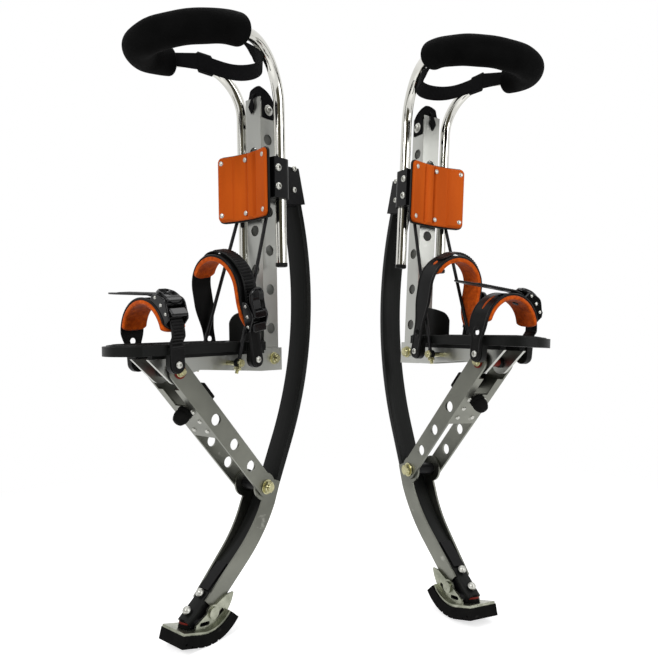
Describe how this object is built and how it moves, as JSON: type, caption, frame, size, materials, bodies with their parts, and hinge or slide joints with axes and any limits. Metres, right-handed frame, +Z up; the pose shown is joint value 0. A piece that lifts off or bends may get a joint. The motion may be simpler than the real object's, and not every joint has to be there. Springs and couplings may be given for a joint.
{
  "type": "jumping stilts",
  "caption": "Pair of sprung jumping stilts with a bowed leaf spring, pivoting link and leg, rubber hoof, strapped foot plate, calf plate and padded cuff.",
  "frame": {"origin": "on the floor, in the middle of the pair's box", "axes": "+X to the viewer's right across the pair, +Y away from the viewer, +Z up"},
  "size_m": [0.7125, 0.4488, 0.9651],
  "materials": {
    "bare_aluminium": "satin",
    "bright_tube": "polished",
    "black_metal": "satin black",
    "zinc_bolts": "yellow zinc",
    "black_plastic": "moulded matte",
    "strap_plastic": "semi-gloss",
    "orange_plastic": "semi-gloss",
    "orange_lining": "mesh fabric",
    "glass_fibre": "satin black",
    "foam": "foam",
    "webbing": "woven",
    "black_rubber": "matte"
  },
  "bodies": {
    "frames": {"frame_bolts": "zinc_bolts", "calf_rivets": "bright_tube", "stay_rods": "black_metal", "webbing_tabs": "webbing", "left_upright": "bare_aluminium", "left_frame_plates": "bare_aluminium", "left_footplate": "black_plastic", "left_heel_cup": "black_plastic", "left_calf_plate": "orange_plastic", "left_calf_backing": "black_plastic", "left_tube_clamps": "black_plastic", "left_spring_clamp": "black_plastic", "left_leaf_spring": "glass_fibre", "right_upright": "bare_aluminium", "right_frame_plates": "bare_aluminium", "right_footplate": "black_plastic", "right_heel_cup": "black_plastic", "right_calf_plate": "orange_plastic", "right_calf_backing": "black_plastic", "right_tube_clamps": "black_plastic", "right_spring_clamp": "black_plastic", "right_leaf_spring": "glass_fibre"},
    "left_cuff": {"left_cuff_bar": "bright_tube", "left_foam_sleeve": "foam", "left_cuff_webbing": "webbing", "left_tube_caps": "black_plastic"},
    "left_link": {"left_link": "bare_aluminium", "left_link_stops": "black_rubber"},
    "left_leg": {"left_leg": "bare_aluminium", "left_hoof": "bare_aluminium", "left_sole": "black_rubber", "left_spring_clip": "black_metal", "left_elbow_bolt": "zinc_bolts"},
    "left_ankle_strap": {"left_ankle_strap": "strap_plastic", "left_ankle_lining": "orange_lining", "left_ankle_buckle": "strap_plastic"},
    "left_ankle_lever": {"left_ankle_lever": "strap_plastic"},
    "left_toe_strap": {"left_toe_strap": "strap_plastic", "left_toe_lining": "orange_lining", "left_toe_buckle": "strap_plastic"},
    "left_toe_lever": {"left_toe_lever": "strap_plastic"},
    "right_cuff": {"right_cuff_bar": "bright_tube", "right_foam_sleeve": "foam", "right_cuff_webbing": "webbing", "right_tube_caps": "black_plastic"},
    "right_link": {"right_link": "bare_aluminium", "right_link_stops": "black_rubber"},
    "right_leg": {"right_leg": "bare_aluminium", "right_hoof": "bare_aluminium", "right_sole": "black_rubber", "right_spring_clip": "black_metal", "right_elbow_bolt": "zinc_bolts"},
    "right_ankle_strap": {"right_ankle_strap": "strap_plastic", "right_ankle_lining": "orange_lining", "right_ankle_buckle": "strap_plastic"},
    "right_ankle_lever": {"right_ankle_lever": "strap_plastic"},
    "right_toe_strap": {"right_toe_strap": "strap_plastic", "right_toe_lining": "orange_lining", "right_toe_buckle": "strap_plastic"},
    "right_toe_lever": {"right_toe_lever": "strap_plastic"}
  },
  "joints": [
    {"name": "left_cuff_slide", "type": "slide", "parent": "frames", "child": "left_cuff", "axis": [0, 0, 1], "range_m": [-0.03, 0.05]},
    {"name": "left_link_pivot", "type": "hinge", "parent": "frames", "child": "left_link", "pos_m": [-0.26214, -0.13474, 0.424], "axis": [0.766, -0.6428, 0], "range_deg": [0, 18], "stiffness_Nm_per_rad": 1000, "deforming": ["left_leaf_spring"]},
    {"name": "left_leg_pivot", "type": "hinge", "parent": "left_link", "child": "left_leg", "pos_m": [-0.1503, -0.00145, 0.219], "axis": [0.766, -0.6428, 0], "range_deg": [-33, 0], "deforming": ["left_leaf_spring"]},
    {"name": "left_ankle_strap_pivot", "type": "hinge", "parent": "frames", "child": "left_ankle_strap", "pos_m": [-0.17665, -0.03286, 0.436], "axis": [0.766, -0.6428, 0], "range_deg": [0, 20]},
    {"name": "left_ankle_lever_pivot", "type": "hinge", "parent": "left_ankle_strap", "child": "left_ankle_lever", "pos_m": [-0.13107, -0.08743, 0.50691], "axis": [0.633, 0.7544, 0.1736], "range_deg": [0, 60], "stiffness_Nm_per_rad": 0.3},
    {"name": "left_toe_strap_pivot", "type": "hinge", "parent": "frames", "child": "left_toe_strap", "pos_m": [-0.27564, -0.15083, 0.436], "axis": [0.766, -0.6428, 0], "range_deg": [-10, 12]},
    {"name": "left_toe_lever_pivot", "type": "hinge", "parent": "left_toe_strap", "child": "left_toe_lever", "pos_m": [-0.24036, -0.18855, 0.52495], "axis": [0.6412, 0.7642, 0.0698], "range_deg": [0, 60], "stiffness_Nm_per_rad": 0.3},
    {"name": "right_cuff_slide", "type": "slide", "parent": "frames", "child": "right_cuff", "axis": [0.061, 0.0338, 0.9976], "range_m": [-0.03, 0.05]},
    {"name": "right_link_pivot", "type": "hinge", "parent": "frames", "child": "right_link", "pos_m": [0.2455, -0.05633, 0.42499], "axis": [0.8725, 0.4836, -0.0698], "range_deg": [0, 18], "stiffness_Nm_per_rad": 1000, "deforming": ["right_leaf_spring"]},
    {"name": "right_leg_pivot", "type": "hinge", "parent": "right_link", "child": "right_leg", "pos_m": [0.14864, 0.08892, 0.22049], "axis": [0.8725, 0.4836, -0.0698], "range_deg": [-33, 0], "deforming": ["right_leaf_spring"]},
    {"name": "right_ankle_strap_pivot", "type": "hinge", "parent": "frames", "child": "right_ankle_strap", "pos_m": [0.18175, 0.0604, 0.43696], "axis": [0.8725, 0.4836, -0.0698], "range_deg": [0, 20]},
    {"name": "right_ankle_lever_pivot", "type": "hinge", "parent": "right_ankle_strap", "child": "right_ankle_lever", "pos_m": [0.25321, 0.08571, 0.50281], "axis": [-0.4668, 0.8672, 0.1732], "range_deg": [0, 60], "stiffness_Nm_per_rad": 0.3},
    {"name": "right_toe_strap_pivot", "type": "hinge", "parent": "frames", "child": "right_toe_strap", "pos_m": [0.25641, -0.0743, 0.43696], "axis": [0.8725, 0.4836, -0.0698], "range_deg": [-10, 12]},
    {"name": "right_toe_lever_pivot", "type": "hinge", "parent": "right_toe_strap", "child": "right_toe_lever", "pos_m": [0.30959, -0.05193, 0.52212], "axis": [-0.4794, 0.8748, 0.0696], "range_deg": [0, 60], "stiffness_Nm_per_rad": 0.3}
  ],
  "couplings": [
    {"joint": "left_leg_pivot", "follows": "left_link_pivot", "ratio": -1.8},
    {"joint": "right_leg_pivot", "follows": "right_link_pivot", "ratio": -1.8}
  ]
}
